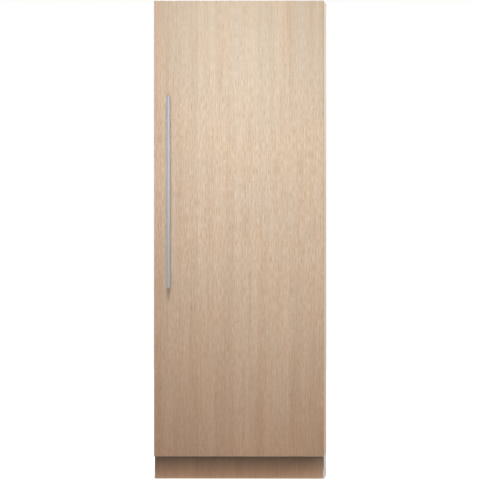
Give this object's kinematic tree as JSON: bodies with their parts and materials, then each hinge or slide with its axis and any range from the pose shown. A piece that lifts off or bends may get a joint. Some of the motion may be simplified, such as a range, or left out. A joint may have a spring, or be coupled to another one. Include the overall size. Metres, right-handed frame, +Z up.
{
  "type": "column refrigerator",
  "caption": "Tall integrated column refrigerator with a wood slab door, upright bar handle, glass shelves, crisper drawers, door bins and a recessed toe kick.",
  "frame": {"origin": "on the floor, under the middle of the whole refrigerator, its handle included", "axes": "+X to the right seen from the front, -Y out of the door's face, +Z up"},
  "size_m": [0.7556, 0.6696, 2.1336],
  "materials": {
    "wood_veneer": "satin",
    "brushed_handle": "satin",
    "pale_base_steel": "satin",
    "zinc_steel": "satin",
    "black_enamel": "gloss",
    "white_liner": "satin",
    "clear_plastic": "gloss",
    "grey_plastic": "matte",
    "black_plastic": "matte",
    "fin_aluminium": "satin",
    "shelf_glass": "gloss",
    "foam": "matte",
    "gasket_rubber": "matte",
    "light_lens": "satin"
  },
  "bodies": {
    "cabinet": {"toe_kick_board": "wood_veneer", "side_skin_left": "wood_veneer", "side_skin_right": "wood_veneer", "base_frame": "pale_base_steel", "cabinet_shell": "zinc_steel", "back_panel": "zinc_steel", "rear_cover_grille": "zinc_steel", "hinge_plate_top": "zinc_steel", "hinge_plate_bottom": "zinc_steel", "shelf_track_left": "zinc_steel", "shelf_track_right": "zinc_steel", "compressor": "black_enamel", "inner_liner": "white_liner", "face_frame": "white_liner", "rear_air_duct": "white_liner", "control_housing": "white_liner", "shelf_1_frame": "white_liner", "shelf_2_frame": "white_liner", "shelf_3_frame": "white_liner", "crisper_cover_frame": "white_liner", "drain_pan": "grey_plastic", "drawer_rail_left": "grey_plastic", "drawer_rail_right": "grey_plastic", "base_grille": "black_plastic", "power_inlet": "black_plastic", "condenser_fan_shroud": "black_plastic", "condenser": "fin_aluminium", "evaporator": "fin_aluminium", "shelf_1_glass": "shelf_glass", "shelf_2_glass": "shelf_glass", "shelf_3_glass": "shelf_glass", "crisper_cover_glass": "shelf_glass", "cabinet_insulation": "foam", "ceiling_light_lens": "light_lens"},
    "door": {"door_panel": "wood_veneer", "handle": "brushed_handle", "door_outer_pan": "zinc_steel", "door_insulation": "foam", "door_inner_liner": "white_liner", "door_dike": "white_liner", "door_gasket": "gasket_rubber", "door_bin_1": "clear_plastic", "door_bin_2": "clear_plastic", "door_bin_3": "clear_plastic", "dairy_box": "white_liner"},
    "dairy_lid": {"dairy_lid": "clear_plastic"},
    "drawer_lower": {"drawer_bin_lower": "clear_plastic", "drawer_front_lower": "clear_plastic"},
    "drawer_upper": {"drawer_bin_upper": "clear_plastic", "drawer_front_upper": "clear_plastic"},
    "humidity_slide": {"humidity_slide": "grey_plastic"},
    "condenser_fan": {"condenser_fan_wheel": "grey_plastic"},
    "evaporator_fan": {"evaporator_fan_wheel": "grey_plastic"},
    "control_key_1": {"control_key_1": "grey_plastic"},
    "control_key_2": {"control_key_2": "grey_plastic"},
    "control_key_3": {"control_key_3": "grey_plastic"},
    "foot_left": {"levelling_foot_left": "black_plastic"},
    "foot_right": {"levelling_foot_right": "black_plastic"},
    "roller_left": {"rear_roller_left": "grey_plastic"},
    "roller_right": {"rear_roller_right": "grey_plastic"}
  },
  "joints": [
    {"name": "door_hinge", "type": "hinge", "parent": "cabinet", "child": "door", "pos_m": [0.35783, -0.2178, 1.1176], "axis": [0, 0, 1], "range_deg": [0, 110]},
    {"name": "dairy_lid_hinge", "type": "hinge", "parent": "door", "child": "dairy_lid", "pos_m": [0, -0.1828, 1.834], "axis": [1, 0, 0], "range_deg": [0, 80]},
    {"name": "drawer_lower_slide", "type": "slide", "parent": "cabinet", "child": "drawer_lower", "axis": [0, -1, 0], "range_m": [0, 0.165]},
    {"name": "drawer_upper_slide", "type": "slide", "parent": "cabinet", "child": "drawer_upper", "axis": [0, -1, 0], "range_m": [0, 0.165]},
    {"name": "humidity_slide", "type": "slide", "parent": "cabinet", "child": "humidity_slide", "axis": [1, 0, 0], "range_m": [-0.035, 0.035]},
    {"name": "condenser_fan_spin", "type": "hinge", "parent": "cabinet", "child": "condenser_fan", "pos_m": [-0.15991, -0.0671, 0.1173], "axis": [0, 1, 0], "continuous": true},
    {"name": "evaporator_fan_spin", "type": "hinge", "parent": "cabinet", "child": "evaporator_fan", "pos_m": [0, 0.2562, 1.05], "axis": [0, 1, 0], "continuous": true},
    {"name": "control_key_1_press", "type": "slide", "parent": "cabinet", "child": "control_key_1", "axis": [0, 1, 0], "range_m": [0, 0.0015], "stiffness_N_per_m": 600},
    {"name": "control_key_2_press", "type": "slide", "parent": "cabinet", "child": "control_key_2", "axis": [0, 1, 0], "range_m": [0, 0.0015], "stiffness_N_per_m": 600},
    {"name": "control_key_3_press", "type": "slide", "parent": "cabinet", "child": "control_key_3", "axis": [0, 1, 0], "range_m": [0, 0.0015], "stiffness_N_per_m": 600},
    {"name": "levelling_foot_left_turn", "type": "hinge", "parent": "cabinet", "child": "foot_left", "pos_m": [-0.32782, -0.1208, 0], "axis": [0, 0, 1], "continuous": true},
    {"name": "levelling_foot_right_turn", "type": "hinge", "parent": "cabinet", "child": "foot_right", "pos_m": [0.32782, -0.1208, 0], "axis": [0, 0, 1], "continuous": true},
    {"name": "rear_roller_left_roll", "type": "hinge", "parent": "cabinet", "child": "roller_left", "pos_m": [-0.32782, 0.2798, 0.018], "axis": [1, 0, 0], "continuous": true},
    {"name": "rear_roller_right_roll", "type": "hinge", "parent": "cabinet", "child": "roller_right", "pos_m": [0.32782, 0.2798, 0.018], "axis": [1, 0, 0], "continuous": true}
  ]
}
